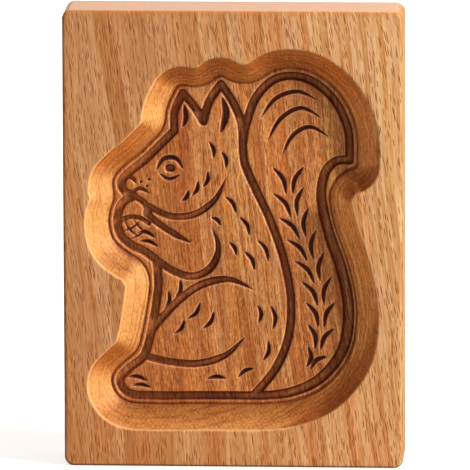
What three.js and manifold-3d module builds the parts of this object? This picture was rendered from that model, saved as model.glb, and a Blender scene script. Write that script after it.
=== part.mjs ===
// Wooden cookie mould: one block of planed beech with a squirrel cut into its face.
// Millimetres, Z up. The block stands on its lower end with the carved face towards -Y,
// and the origin is the centre of the lower end.
//
// The carving is drawn on the face as someone looking at it sees it: u runs to the right,
// v runs up from the lower end, and w rises out of the wood. Its order is the cutter's own:
// the recess with its hollow wall, the groove round the figure, then the lines inside it.
import * as THREE from 'three';
import { mergeVertices } from 'three/addons/utils/BufferGeometryUtils.js';
import Module from 'manifold-3d';

// The block
const BOARD_WIDTH = 110;
const BOARD_HEIGHT = 150;
const BOARD_THICKNESS = 20;
const CORNER_RADIUS = 3;
const EDGE_ROUND = 1;
const FACE = BOARD_THICKNESS / 2;

// The recess: a flat floor, a narrow ledge round the figure, and a wall that hollows as it rises
const RECESS_DEPTH = 8;
const FLOOR = FACE - RECESS_DEPTH;
const LEDGE = 2.7;
const WALL_RUN = 7.3;
const WALL_HOLLOW = 0.38;
const WALL_LEVELS = [0, 0.3, 0.57, 0.79, 0.93, 1];
const LOBE_BLEND = 3;
const CUTTER_CLEARANCE = 1;

// The groove round the figure, which swells along the tail's outer edge
const OUTLINE_DEPTH = 1.8;
const OUTLINE_HALF_WIDTH = 1.5;
const TAIL_EDGE_SWELL = 4 / 3;

// How finely curves are followed
const FINE_STEP = 0.4;
const CONTOUR_TOLERANCE = 0.07;
const CLOSEST_POINTS = 0.25;
const OFFSET_TOLERANCE = 0.005;
const GROOVE_STEP = 2.8;
const TAPER_LENGTH = 0.35;
const TAPER_POWER = 0.6;
const THINNEST_END = 0.12;

// The outline runs counter-clockwise in smooth stretches that meet at the figure's corners.
const TAIL_EDGE = [
  [8, 22], [18, 23.2], [27.6, 27.8], [35, 37.4], [37, 50], [34.8, 63.5], [30.6, 76], [28.2, 87.5],
  [29.4, 95.6], [33, 99.6], [37.4, 100],
];
const FRONT_AND_SOLE = [
  [-25.4, 66.6], [-24.8, 59], [-25.8, 50.5], [-27.4, 42], [-29.6, 35], [-34.2, 31], [-37.4, 27],
  [-34.6, 22.6], [-26, 21.8], [-8, 22], [8, 22],
];
const OUTLINE = [
  FRONT_AND_SOLE,
  TAIL_EDGE,
  // the top of the tail's curl and down its inner edge to the nape
  [
    [37.4, 100], [36.8, 110.4], [32, 120.2], [23.6, 126.6], [14.2, 126.8], [7.4, 120.8], [4, 112],
    [2.8, 105],
  ],
  // the near ear, back edge then front edge
  [[2.8, 105], [2.4, 111.6], [0, 118], [-4.2, 124.6]],
  [[-4.2, 124.6], [-8, 119], [-10, 112.4]],
  // the far ear
  [[-10, 112.4], [-12.8, 117], [-16.6, 121.6]],
  [[-16.6, 121.6], [-19.2, 115.6], [-19.4, 109.2]],
  // the forehead, nose and mouth
  [
    [-19.4, 109.2], [-23.4, 105.2], [-28.8, 99.8], [-34, 95.6], [-36.6, 92.4], [-35.8, 89.4],
    [-32.6, 87.6],
  ],
  // the nut, then the paw and forearm
  [[-32.6, 87.6], [-36.4, 85.2], [-38, 80], [-36.8, 74.6], [-32.8, 71]],
  [[-32.8, 71], [-29.4, 69.6], [-25.4, 66.6]],
];

// Long grooves inside the figure. A taper names the end that runs out to a point.
const GROOVES = [
  // back, between the body and the tail
  {
    halfWidth: 1.5, depth: 1.7, taper: 'none',
    points: [
      [2.8, 105.4], [3.4, 98.6], [7, 90], [11.8, 79.5], [16, 67], [18.2, 54], [17.4, 41.5], [13.2, 31],
      [6.5, 22.6],
    ],
  },
  // cheek
  {
    halfWidth: 1.2, depth: 1.5, taper: 'end',
    points: [[-28, 84.4], [-21, 81.2], [-13, 81.8], [-6.4, 86.6], [-2.6, 94]],
  },
  // upper arm and elbow
  {
    halfWidth: 1.35, depth: 1.6, taper: 'end',
    points: [[-25.4, 66.6], [-19.4, 62.8], [-13.2, 61.4], [-7.6, 64.4], [-5.2, 71], [-7.4, 77.6]],
  },
  // top of the forearm
  {
    halfWidth: 1.2, depth: 1.5, taper: 'start',
    points: [[-14, 72.4], [-19.4, 75.2], [-24.6, 78.6], [-28.6, 82]],
  },
  // thigh
  {
    halfWidth: 1.4, depth: 1.6, taper: 'start',
    points: [[6.4, 57], [-2, 60.4], [-11.6, 58.2], [-19.8, 51.8], [-27.2, 43.2]],
  },
  // haunch
  {
    halfWidth: 1.3, depth: 1.6, taper: 'end',
    points: [[-29, 34.8], [-21, 33], [-11.6, 32.6], [-3, 35.4], [3.4, 41.6]],
  },
  // brow and lower lid
  {
    halfWidth: 0.9, depth: 1.3, taper: 'both',
    points: [[-25.4, 96.2], [-23, 99.9], [-19, 100.2], [-16.4, 96.6]],
  },
  { halfWidth: 0.65, depth: 1.1, taper: 'both', points: [[-24.4, 95.4], [-21.2, 93.4], [-17.4, 95]] },
  // pupil
  { halfWidth: 1.35, depth: 1.5, taper: 'none', points: [[-21.2, 97], [-20.4, 96.9]] },
  // insides of the ears
  { halfWidth: 1.3, depth: 1.5, taper: 'both', points: [[-3.9, 120.6], [-2.6, 115], [-4.4, 108.6]] },
  { halfWidth: 1, depth: 1.3, taper: 'both', points: [[-16.2, 118], [-15.6, 113.8], [-16.6, 110.4]] },
  // nostril and mouth
  { halfWidth: 0.8, depth: 1.2, taper: 'end', points: [[-35.6, 94.2], [-33, 93.6], [-31.8, 91.8]] },
  { halfWidth: 0.7, depth: 1.1, taper: 'end', points: [[-34.2, 88.4], [-30.6, 90.2], [-27.2, 88.4]] },
  // the nut's side and the edge of its husk
  { halfWidth: 1.1, depth: 1.4, taper: 'none', points: [[-32.6, 87.6], [-29.4, 85.6], [-27.8, 82.2]] },
  {
    halfWidth: 0.85, depth: 1.2, taper: 'none',
    points: [[-37.4, 79.4], [-34, 80.8], [-30.6, 80.4], [-27.8, 78.8]],
  },
  // fingers and toes
  { halfWidth: 0.75, depth: 1.2, taper: 'both', points: [[-31.6, 75.6], [-28.6, 75.8], [-25.6, 74]] },
  { halfWidth: 0.75, depth: 1.2, taper: 'both', points: [[-31, 72.8], [-27.8, 72.8], [-24.6, 71]] },
  { halfWidth: 0.8, depth: 1.2, taper: 'both', points: [[-34.8, 28], [-31.4, 28], [-28.4, 26.6]] },
  { halfWidth: 0.75, depth: 1.1, taper: 'both', points: [[-33.6, 25.2], [-30.2, 25.4], [-27.2, 24.4]] },
  // long hairs that follow the tail's curl
  {
    halfWidth: 0.8, depth: 1.2, taper: 'both',
    points: [[8.6, 113.6], [13.4, 120], [20.6, 122.4], [27, 119.6]],
  },
  {
    halfWidth: 0.8, depth: 1.2, taper: 'both',
    points: [[10.8, 106], [15, 113.4], [21.8, 117], [28.6, 113.6]],
  },
  {
    halfWidth: 0.8, depth: 1.2, taper: 'both',
    points: [[15.6, 101.6], [19, 108], [24.6, 110.8], [30.8, 107.6]],
  },
];

// Short tapered nicks for fur, each by its middle, its direction, its length and how far it bends
const NICK_HALF_WIDTH = 0.75;
const NICK_DEPTH = 1.2;
const NICKS = [
  // chest
  { u: -18.6, v: 57, degrees: -105, length: 7, bend: 1 },
  { u: -22, v: 53.6, degrees: -100, length: 6, bend: 0.8 },
  // back
  { u: 9.2, v: 70, degrees: -64, length: 8, bend: 1.1 },
  { u: 4.8, v: 66.6, degrees: -62, length: 7, bend: 1 },
  { u: 3.2, v: 78, degrees: -62, length: 7, bend: 1 },
  { u: -0.6, v: 70.6, degrees: -62, length: 5, bend: 0.7 },
  // thigh
  { u: -13.4, v: 50, degrees: -128, length: 7, bend: 1.1 },
  { u: -8.6, v: 47, degrees: -122, length: 7, bend: 1 },
  { u: -18, v: 44.8, degrees: -124, length: 6, bend: 0.9 },
  // rump
  { u: 12, v: 48, degrees: -84, length: 8, bend: 1.2 },
  { u: 7.6, v: 49, degrees: -88, length: 6, bend: 1 },
  { u: 10, v: 37, degrees: -104, length: 7, bend: 1 },
  // neck
  { u: -1.2, v: 85, degrees: -58, length: 6.6, bend: 0.9 },
  { u: -6, v: 79.6, degrees: -40, length: 4, bend: 0.6 },
  // cheek
  { u: -12.8, v: 90.4, degrees: -112, length: 5.4, bend: 0.8 },
  { u: -9.4, v: 93.4, degrees: -106, length: 5.4, bend: 0.8 },
  { u: -16, v: 88, degrees: -122, length: 4.6, bend: 0.7 },
  // crown
  { u: -7.4, v: 103, degrees: -76, length: 5.6, bend: 0.8 },
  { u: -3.4, v: 99.8, degrees: -76, length: 5.6, bend: 0.8 },
  // foot
  { u: -6, v: 27.6, degrees: -178, length: 6.4, bend: -0.7 },
  { u: 3.6, v: 29.6, degrees: -150, length: 6, bend: -0.8 },
];

// Pairs of hairs spread from the middle of the tail like the barbs of a feather.
const TAIL_MIDDLE = [[17, 26.5], [25.4, 34], [28, 46.5], [26.6, 60], [22.4, 73.5], [18.4, 86], [17.6, 97]];
const TAIL_PAIRS = 9;
const TAIL_FIRST = 0.15;
const TAIL_LAST = 0.95;
const TAIL_SPREAD_DEGREES = 24;
const TAIL_HALF_WIDTH = 0.85;
const TAIL_LENGTH = 10;
const TAIL_OFFSET = 3.1;
const TAIL_BEND = 1.3;

const wasm = await Module();
wasm.setup();

function toManifold(geometry) {
  const bare = geometry.index ? geometry.toNonIndexed() : geometry.clone();
  bare.deleteAttribute('normal');
  bare.deleteAttribute('uv');
  const merged = mergeVertices(bare, 1e-5);
  return new wasm.Manifold(new wasm.Mesh({
    numProp: 3,
    vertProperties: new Float32Array(merged.attributes.position.array),
    triVerts: new Uint32Array(merged.index.array),
  }));
}

function toGeometry(solid) {
  const mesh = solid.getMesh();
  const geometry = new THREE.BufferGeometry();
  geometry.setAttribute('position', new THREE.BufferAttribute(new Float32Array(mesh.vertProperties), 3));
  geometry.setIndex(new THREE.BufferAttribute(new Uint32Array(mesh.triVerts), 1));
  geometry.computeVertexNormals();
  return geometry;
}

function meshFrom(corners, triangles) {
  const geometry = new THREE.BufferGeometry();
  geometry.setAttribute('position', new THREE.Float32BufferAttribute(corners.flat(), 3));
  geometry.setIndex(triangles.flat());
  return geometry;
}

function curveThrough(points) {
  return new THREE.SplineCurve(points.map(([u, v]) => new THREE.Vector2(u, v)));
}

function spaced(curve, step, fewest) {
  return curve.getSpacedPoints(Math.max(fewest, Math.ceil(curve.getLength() / step)));
}

function board() {
  const half = BOARD_WIDTH / 2 - EDGE_ROUND;
  const radius = CORNER_RADIUS - EDGE_ROUND;
  const low = EDGE_ROUND + radius;
  const high = BOARD_HEIGHT - EDGE_ROUND - radius;
  const shape = new THREE.Shape();
  shape.absarc(half - radius, low, radius, -Math.PI / 2, 0);
  shape.absarc(half - radius, high, radius, 0, Math.PI / 2);
  shape.absarc(radius - half, high, radius, Math.PI / 2, Math.PI);
  shape.absarc(radius - half, low, radius, Math.PI, Math.PI * 1.5);
  const block = new THREE.ExtrudeGeometry(shape, {
    depth: BOARD_THICKNESS - 2 * EDGE_ROUND,
    bevelThickness: EDGE_ROUND,
    bevelSize: EDGE_ROUND,
    bevelSegments: 3,
    curveSegments: 2,
  });
  return block.translate(0, 0, EDGE_ROUND - FACE);
}

function figureLoop() {
  return OUTLINE.flatMap((points) => spaced(curveThrough(points), FINE_STEP, 4).slice(0, -1));
}

function distanceToSegment(point, from, to) {
  const along = to.clone().sub(from);
  const share = THREE.MathUtils.clamp(point.clone().sub(from).dot(along) / along.lengthSq(), 0, 1);
  return point.distanceTo(from.clone().addScaledVector(along, share));
}

function distanceToLoop(point, loop) {
  return loop.reduce((least, corner, i) => {
    if (point.distanceTo(corner) > least + 2 * FINE_STEP) return least;
    return Math.min(least, distanceToSegment(point, corner, loop[(i + 1) % loop.length]));
  }, Infinity);
}

// Leaves out points that lie within the tolerance of the line between those kept.
function thinned(points, tolerance) {
  const first = points[0];
  const last = points.at(-1);
  const gaps = points.map((point) => distanceToSegment(point, first, last));
  const widest = gaps.indexOf(Math.max(...gaps));
  if (points.length < 3 || gaps[widest] < tolerance) return [first, last];
  const before = thinned(points.slice(0, widest + 1), tolerance);
  return [...before.slice(0, -1), ...thinned(points.slice(widest), tolerance)];
}

function thinnedLoop(loop, tolerance) {
  const opposite = Math.floor(loop.length / 2);
  const there = thinned(loop.slice(0, opposite + 1), tolerance);
  const back = thinned([...loop.slice(opposite), loop[0]], tolerance);
  return [...there.slice(0, -1), ...back.slice(0, -1)];
}

function outwardNormal(from, to) {
  const along = to.clone().sub(from).normalize();
  return new THREE.Vector2(along.y, -along.x);
}

// The line at this distance outside a counter-clockwise loop, or inside a clockwise one. It runs
// round the outer corners and has a cusp where two lobes meet in an inner corner.
function offsetLoop(loop, distance) {
  const kept = [];
  loop.forEach((corner, i) => {
    const arriving = outwardNormal(loop.at(i - 1), corner);
    const leaving = outwardNormal(corner, loop[(i + 1) % loop.length]);
    const turn = Math.atan2(arriving.cross(leaving), arriving.dot(leaving));
    const fan = Math.max(1, Math.ceil(turn * distance / FINE_STEP));
    for (let k = 0; k < fan; k += 1) {
      const direction = arriving.clone().rotateAround(new THREE.Vector2(), turn * (k + 0.5) / fan);
      const point = corner.clone().addScaledVector(direction, distance);
      const isClear = distanceToLoop(point, loop) > distance - OFFSET_TOLERANCE;
      const isApart = !kept.length || point.distanceTo(kept.at(-1)) > CLOSEST_POINTS;
      if (isClear && isApart) kept.push(point);
    }
  });
  return kept;
}

// The recess's contours for each share of the wall's run. They're drawn inwards from a line
// further out, so that the lobes round the figure's parts blend into each other.
function wallContours(loop) {
  const farLine = offsetLoop(loop, LEDGE + WALL_RUN + LOBE_BLEND).reverse();
  return WALL_LEVELS.map((share) => {
    const contour = offsetLoop(farLine, LOBE_BLEND + WALL_RUN * (1 - share)).reverse();
    return thinnedLoop(contour, CONTOUR_TOLERANCE);
  });
}

// Triangles that fill a loop, counter-clockwise from above
function fillTriangles(loop) {
  return THREE.ShapeUtils.triangulateShape(loop, []).map(([a, b, c]) => {
    const area = loop[b].clone().sub(loop[a]).cross(loop[c].clone().sub(loop[a]));
    return area > 0 ? [a, b, c] : [a, c, b];
  });
}

// Triangles between two loops that run round each other, counter-clockwise from above. Each is
// joined to the other at its nearest points, and the outer loop's corners are counted first.
function bandTriangles(outer, inner) {
  const gaps = outer.map((corner) => corner.distanceTo(inner[0]));
  const first = gaps.indexOf(Math.min(...gaps));
  const triangles = [];
  let i = 0;
  let j = 0;
  while (i < inner.length || j < outer.length) {
    const here = (first + j) % outer.length;
    const ahead = (here + 1) % outer.length;
    const inHere = i % inner.length;
    const inAhead = (i + 1) % inner.length;
    const isInnerNearer = inner[inAhead].distanceTo(outer[here]) < outer[ahead].distanceTo(inner[inHere]);
    if (j === outer.length || (i < inner.length && isInnerNearer)) {
      triangles.push([here, outer.length + inAhead, outer.length + inHere]);
      i += 1;
    } else {
      triangles.push([here, ahead, outer.length + inHere]);
      j += 1;
    }
  }
  return triangles;
}

function wallRise(share) {
  return (1 - WALL_HOLLOW) * share + WALL_HOLLOW * (1 - Math.sqrt(1 - share * share));
}

// What the recess cutter removes: the figure's shape widened step by step from floor to face
function recess(loop) {
  const contours = wallContours(loop);
  const rings = contours.map((contour, k) => ({
    loop: contour,
    w: FLOOR + RECESS_DEPTH * wallRise(WALL_LEVELS[k]),
  }));
  rings.push({ loop: rings.at(-1).loop, w: FACE + CUTTER_CLEARANCE });
  const corners = [];
  const starts = rings.map((ring) => {
    const start = corners.length;
    ring.loop.forEach((point) => corners.push([point.x, point.y, ring.w]));
    return start;
  });
  const triangles = fillTriangles(rings[0].loop).map(([a, b, c]) => [a, c, b]);
  for (let k = 0; k < WALL_LEVELS.length - 1; k += 1) {
    const outer = rings[k + 1].loop;
    const corner = (i) => (i < outer.length ? starts[k + 1] + i : starts[k] + i - outer.length);
    bandTriangles(outer, rings[k].loop).forEach(([a, b, c]) => {
      triangles.push([corner(a), corner(c), corner(b)]);
    });
  }
  const edge = starts.at(-2);
  const top = starts.at(-1);
  const count = rings.at(-1).loop.length;
  for (let i = 0; i < count; i += 1) {
    const next = (i + 1) % count;
    triangles.push([edge + i, edge + next, top + next], [edge + i, top + next, top + i]);
  }
  fillTriangles(rings.at(-1).loop).forEach(([a, b, c]) => triangles.push([top + a, top + b, top + c]));
  return meshFrom(corners, triangles);
}

function taperAt(share, taper) {
  const shares = {
    none: 1,
    both: Math.sin(Math.PI * share),
    start: Math.min(1, share / TAPER_LENGTH),
    end: Math.min(1, (1 - share) / TAPER_LENGTH),
  };
  if (taper === 'swell') return 1 + (TAIL_EDGE_SWELL - 1) * Math.sin(Math.PI * share);
  return Math.max(THINNEST_END, Math.max(0, shares[taper]) ** TAPER_POWER);
}

// The places along a groove where its section is set out. An end that doesn't taper is round,
// as a ball-nosed cutter leaves it.
function stations(curve, halfWidth, taper, step) {
  const points = spaced(curve, step, 4);
  const last = points.length - 1;
  const places = points.map((point, i) => ({
    point,
    along: points[Math.min(i + 1, last)].clone().sub(points[Math.max(i - 1, 0)]).normalize(),
    scale: taperAt(i / last, taper),
  }));
  const roundEnd = (place, direction) => [0.35, 0.95].map((angle) => ({
    point: place.point.clone().addScaledVector(place.along, direction * halfWidth * Math.cos(angle)),
    along: place.along,
    scale: Math.sin(angle),
  }));
  const startsRound = taper !== 'both' && taper !== 'start';
  const endsRound = taper !== 'both' && taper !== 'end';
  const before = startsRound ? roundEnd(places[0], -1) : [];
  const after = endsRound ? roundEnd(places[last], 1).reverse() : [];
  return [...before, ...places, ...after];
}

// Half a round-nosed cutter's section, across and up, for a groove one unit wide and deep. It
// reaches above the floor so that the cut comes out clean.
const SECTION = [[1.1, 0.25], [0.78, -0.62], [0, -1], [-0.78, -0.62], [-1.1, 0.25]];

function groove({ points, halfWidth, depth, taper }, step = GROOVE_STEP) {
  const places = stations(curveThrough(points), halfWidth, taper, step);
  const corners = places.flatMap(({ point, along, scale }) => SECTION.map(([across, up]) => [
    point.x - along.y * across * halfWidth * scale,
    point.y + along.x * across * halfWidth * scale,
    FLOOR + up * depth * scale,
  ]));
  const sides = SECTION.length;
  const triangles = [];
  for (let i = 0; i < places.length - 1; i += 1) {
    for (let k = 0; k < sides; k += 1) {
      const here = i * sides;
      const ahead = here + sides;
      const next = (k + 1) % sides;
      triangles.push([here + k, ahead + k, ahead + next], [here + k, ahead + next, here + next]);
    }
  }
  const end = (places.length - 1) * sides;
  for (let k = 1; k < sides - 1; k += 1) {
    triangles.push([0, k, k + 1], [end, end + k + 1, end + k]);
  }
  return meshFrom(corners, triangles);
}

function nick({ u, v, degrees, length, bend, halfWidth = NICK_HALF_WIDTH }) {
  const angle = THREE.MathUtils.degToRad(degrees);
  const reachU = Math.cos(angle) * length / 2;
  const reachV = Math.sin(angle) * length / 2;
  const middle = [u - Math.sin(angle) * bend, v + Math.cos(angle) * bend];
  return {
    halfWidth,
    depth: NICK_DEPTH,
    taper: 'both',
    points: [[u - reachU, v - reachV], middle, [u + reachU, v + reachV]],
  };
}

function tailNicks() {
  const middle = curveThrough(TAIL_MIDDLE);
  const nicks = [];
  for (let i = 0; i < TAIL_PAIRS; i += 1) {
    const share = TAIL_FIRST + (TAIL_LAST - TAIL_FIRST) * i / (TAIL_PAIRS - 1);
    const point = middle.getPointAt(share);
    const along = middle.getTangentAt(share);
    const degrees = THREE.MathUtils.radToDeg(Math.atan2(along.y, along.x));
    const growth = 1 - 0.3 * Math.exp(-i / 1.2);
    [1, -1].forEach((side) => {
      const offset = side * TAIL_OFFSET * growth;
      nicks.push(nick({
        u: point.x - along.y * offset,
        v: point.y + along.x * offset,
        degrees: degrees + side * TAIL_SPREAD_DEGREES,
        length: TAIL_LENGTH * growth,
        bend: -side * TAIL_BEND,
        halfWidth: TAIL_HALF_WIDTH,
      }));
    });
  }
  return nicks;
}

function outlineGrooves() {
  return OUTLINE.map((points) => ({
    points,
    halfWidth: OUTLINE_HALF_WIDTH,
    depth: OUTLINE_DEPTH,
    taper: points === TAIL_EDGE ? 'swell' : 'none',
  }));
}

function carvedBoard() {
  const cuts = [...outlineGrooves(), ...GROOVES, ...NICKS.map(nick), ...tailNicks()];
  const hollow = toManifold(board()).subtract(toManifold(recess(figureLoop())));
  return toGeometry(cuts.reduce((solid, cut) => solid.subtract(toManifold(groove(cut))), hollow));
}

const beech = new THREE.MeshStandardMaterial({ color: 0xc98f5a, roughness: 0.62, metalness: 0 });

const mouldBoard = new THREE.Mesh(carvedBoard(), beech);
mouldBoard.name = 'mould_board';
mouldBoard.rotation.x = Math.PI / 2;

const cookieMould = new THREE.Group();
cookieMould.name = 'cookie_mould';
cookieMould.add(mouldBoard);

export default cookieMould;
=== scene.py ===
"""Looks of the wooden cookie mould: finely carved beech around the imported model.

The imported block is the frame. Here its node is replaced by a fine mesh of the same block, whose
face is a relief worked out from the same curves: a recess with a hollow wall, the groove round
the figure, the grooves inside it and its short nicks. Lengths in the relief and in the wood's
grain are millimetres, u to the right and v up on the face, w out of the wood. Blender's own
lengths are metres.
"""

import math
from collections import namedtuple

import bpy
import numpy as np
from mathutils import Matrix, Vector, geometry
from mathutils.kdtree import KDTree


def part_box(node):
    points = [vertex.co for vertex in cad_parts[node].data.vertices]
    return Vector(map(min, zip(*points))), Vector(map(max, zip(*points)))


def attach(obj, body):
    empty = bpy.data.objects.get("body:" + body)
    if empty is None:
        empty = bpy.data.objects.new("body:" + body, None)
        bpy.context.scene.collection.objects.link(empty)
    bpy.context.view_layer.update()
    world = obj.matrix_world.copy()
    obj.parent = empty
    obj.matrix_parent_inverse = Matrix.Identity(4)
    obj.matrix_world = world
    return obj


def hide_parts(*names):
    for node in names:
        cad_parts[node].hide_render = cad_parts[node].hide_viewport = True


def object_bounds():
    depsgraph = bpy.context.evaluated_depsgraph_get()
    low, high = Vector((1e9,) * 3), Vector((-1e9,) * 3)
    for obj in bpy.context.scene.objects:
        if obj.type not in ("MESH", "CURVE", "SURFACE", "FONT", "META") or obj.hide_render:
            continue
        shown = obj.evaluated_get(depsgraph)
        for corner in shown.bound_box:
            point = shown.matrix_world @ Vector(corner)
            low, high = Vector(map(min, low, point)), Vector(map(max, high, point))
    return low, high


NODE = "mould_board"
MM = 0.001

# The camera, fitted to the block's edges in the photograph
CAMERA_AZIMUTH = 3.4
CAMERA_ELEVATION = 10.6
CAMERA_ROLL = 0.2
CAMERA_DISTANCE = 3.14
CAMERA_LENS = 742
SENSOR_WIDTH = 36
AIM_RIGHT = 0.0001
AIM_DOWN = 0.00022
CAMERA_CLIP_END = 50

# The recess. From the figure's outline outwards it has a ledge, then a hollow wall up to the
# rim, with a notch at the wall's foot. The face drops a little at its lip.
RECESS_DEPTH = 8.0
LEDGE = 2.7
WALL_RUN = 7.3
RIM = LEDGE + WALL_RUN
WALL_HOLLOW = 0.38
LOBE_BLEND = 3.0
FAR_LINE = RIM + LOBE_BLEND
NOTCH_DEPTH = 0.5
NOTCH_HALF_WIDTH = 0.4
LIP_DROP = 0.12
LIP_WIDTH = 0.3

# The block's edges. A ring of corners lies SUPPORT beside each round, so the flats look flat.
CORNER_RADIUS = 3.0
EDGE_ROUND = 1.0
EDGE_STEPS = 6
CORNER_STEPS = 10
SIDE_STEPS = 10
SUPPORT = 0.35

# The relief's mesh. A point less than SNAP of a cell from an edge moves onto it. Each
# COARSE-th point of the outline is enough to tell inside from outside.
GRID = 0.33
FACE_MARGIN = 0.9
SNAP = 0.45
LEAST_STEEPNESS = 0.7
LINE_STEP = 0.1
FEWEST_STEPS = 4
CURVE_STEPS = 24
COARSE = 6
CLEARANCE_SLACK = 0.01
WELD_DISTANCE = 1e-7

# The marks of a place far from the carving
FAR_OUTSIDE = 60.0
PLAIN_MARKS = {"across": FAR_OUTSIDE, "burn_and_shade": 0.0, "gap": FAR_OUTSIDE}

# Grooves: their sections, the taper of their ends, and the round of their lips
OUTLINE_DEPTH = 1.8
OUTLINE_HALF_WIDTH = 1.5
TAIL_EDGE_SWELL = 1 / 3
LIP_ROUND = 0.07
TAPER_LENGTH = 0.35
TAPER_POWER = 0.6
THINNEST = 0.05
ROUND_POWER = 3.0
POINTED_POWER = 1.6
GAP_REACH = 1.0
# How dark round grooves are drawn: burn and painted shade
GROOVE_BURN_AND_SHADE_SHARE = 0.6

# The figure's outline, piece by piece from below the paws, counter-clockwise
TAIL_EDGE = [
    (8, 22), (18, 23.2), (27.6, 27.8), (35, 37.4), (37, 50), (34.8, 63.5), (30.6, 76), (28.2, 87.5),
    (29.4, 95.6), (33, 99.6), (37.4, 100),
]
OUTLINE = [
    [
        (-25.4, 66.6), (-24.8, 59), (-25.8, 50.5), (-27.4, 42), (-29.6, 35), (-34.2, 31), (-37.4, 27),
        (-34.6, 22.6), (-26, 21.8), (-8, 22), (8, 22),
    ],
    TAIL_EDGE,
    [
        (37.4, 100), (36.8, 110.4), (32, 120.2), (23.6, 126.6), (14.2, 126.8), (7.4, 120.8), (4, 112),
        (2.8, 105),
    ],
    [(2.8, 105), (2.4, 111.6), (0, 118), (-4.2, 124.6)],
    [(-4.2, 124.6), (-8, 119), (-10, 112.4)],
    [(-10, 112.4), (-12.8, 117), (-16.6, 121.6)],
    [(-16.6, 121.6), (-19.2, 115.6), (-19.4, 109.2)],
    [
        (-19.4, 109.2), (-23.4, 105.2), (-28.8, 99.8), (-34, 95.6), (-36.6, 92.4), (-35.8, 89.4),
        (-32.6, 87.6),
    ],
    [(-32.6, 87.6), (-36.4, 85.2), (-38, 80), (-36.8, 74.6), (-32.8, 71)],
    [(-32.8, 71), (-29.4, 69.6), (-25.4, 66.6)],
]

# Grooves inside the figure: half width, depth, the end that tapers, and points
GROOVES = [
    (1.5, 1.7, "none", [
        (2.8, 105.4), (3.4, 98.6), (7, 90), (11.8, 79.5), (16, 67), (18.2, 54), (17.4, 41.5), (13.2, 31),
        (6.5, 22.6),
    ]),
    (1.2, 1.5, "end", [(-28, 84.4), (-21, 81.2), (-13, 81.8), (-6.4, 86.6), (-2.6, 94)]),
    (1.35, 1.6, "end", [
        (-25.4, 66.6), (-19.4, 62.8), (-13.2, 61.4), (-7.6, 64.4), (-5.2, 71), (-7.4, 77.6),
    ]),
    (1.2, 1.5, "start", [(-14, 72.4), (-19.4, 75.2), (-24.6, 78.6), (-28.6, 82)]),
    (1.4, 1.6, "start", [(6.4, 57), (-2, 60.4), (-11.6, 58.2), (-19.8, 51.8), (-27.2, 43.2)]),
    (1.3, 1.6, "end", [(-29, 34.8), (-21, 33), (-11.6, 32.6), (-3, 35.4), (3.4, 41.6)]),
    (1.35, 1.5, "none", [(-21.2, 97), (-20.4, 96.9)]),
    (1.1, 1.4, "none", [(-32.6, 87.6), (-29.4, 85.6), (-27.8, 82.2)]),
    (0.85, 1.2, "none", [(-37.4, 79.4), (-34, 80.8), (-30.6, 80.4), (-27.8, 78.8)]),
    (0.7, 1.1, "end", [(-34.2, 88.4), (-30.6, 90.2), (-27.2, 88.4)]),
    (0.8, 1.2, "end", [(-35.6, 94.2), (-33, 93.6), (-31.8, 91.8)]),
]

# Lines cut with a pointed tool, in the same form
POINTED = [
    (0.9, 1.3, "both", [(-25.4, 96.2), (-23, 99.9), (-19, 100.2), (-16.4, 96.6)]),
    (0.65, 1.1, "both", [(-24.4, 95.4), (-21.2, 93.4), (-17.4, 95)]),
    (1.3, 1.5, "both", [(-3.9, 120.6), (-2.6, 115), (-4.4, 108.6)]),
    (1.0, 1.3, "both", [(-16.2, 118), (-15.6, 113.8), (-16.6, 110.4)]),
    (0.75, 1.2, "both", [(-31.6, 75.6), (-28.6, 75.8), (-25.6, 74)]),
    (0.75, 1.2, "both", [(-31, 72.8), (-27.8, 72.8), (-24.6, 71)]),
    (0.8, 1.2, "both", [(-34.8, 28), (-31.4, 28), (-28.4, 26.6)]),
    (0.75, 1.1, "both", [(-33.6, 25.2), (-30.2, 25.4), (-27.2, 24.4)]),
    (0.8, 1.2, "both", [(8.6, 113.6), (13.4, 120), (20.6, 122.4), (27, 119.6)]),
    (0.8, 1.2, "both", [(10.8, 106), (15, 113.4), (21.8, 117), (28.6, 113.6)]),
    (0.8, 1.2, "both", [(15.6, 101.6), (19, 108), (24.6, 110.8), (30.8, 107.6)]),
    # the nut's fine hatching
    (0.4, 0.7, "both", [(-35.6, 79.6), (-34, 76.6), (-31, 74.4)]),
    (0.4, 0.7, "both", [(-32.6, 80), (-31, 77.6), (-28.8, 76)]),
    (0.4, 0.7, "both", [(-36.6, 76.2), (-33.6, 77), (-30.4, 79.6)]),
    (0.4, 0.7, "both", [(-34.2, 73.6), (-31.4, 74.6), (-28.6, 77)]),
    # whisker dots
    (0.5, 0.8, "none", [(-30.4, 92.4), (-30.2, 92.5)]),
    (0.5, 0.8, "none", [(-28.4, 91), (-28.2, 91.1)]),
    (0.5, 0.8, "none", [(-27.8, 93.2), (-27.6, 93.3)]),
]

# Short nicks for fur: middle u and v, direction in degrees, length, bend
NICK_HALF_WIDTH = 0.75
NICK_DEPTH = 1.2
NICKS = [
    (-18.6, 57, -105, 7, 1), (-22, 53.6, -100, 6, 0.8),
    (9.2, 70, -64, 8, 1.1), (4.8, 66.6, -62, 7, 1), (3.2, 78, -62, 7, 1), (-0.6, 70.6, -62, 5, 0.7),
    (-13.4, 50, -128, 7, 1.1), (-8.6, 47, -122, 7, 1), (-18, 44.8, -124, 6, 0.9),
    (12, 48, -84, 8, 1.2), (7.6, 49, -88, 6, 1), (10, 37, -104, 7, 1),
    (-1.2, 85, -58, 6.6, 0.9), (-6, 79.6, -40, 4, 0.6),
    (-12.8, 90.4, -112, 5.4, 0.8), (-9.4, 93.4, -106, 5.4, 0.8), (-16, 88, -122, 4.6, 0.7),
    (-7.4, 103, -76, 5.6, 0.8), (-3.4, 99.8, -76, 5.6, 0.8),
    (-6, 27.6, -178, 6.4, -0.7), (3.6, 29.6, -150, 6, -0.8),
]

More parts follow.
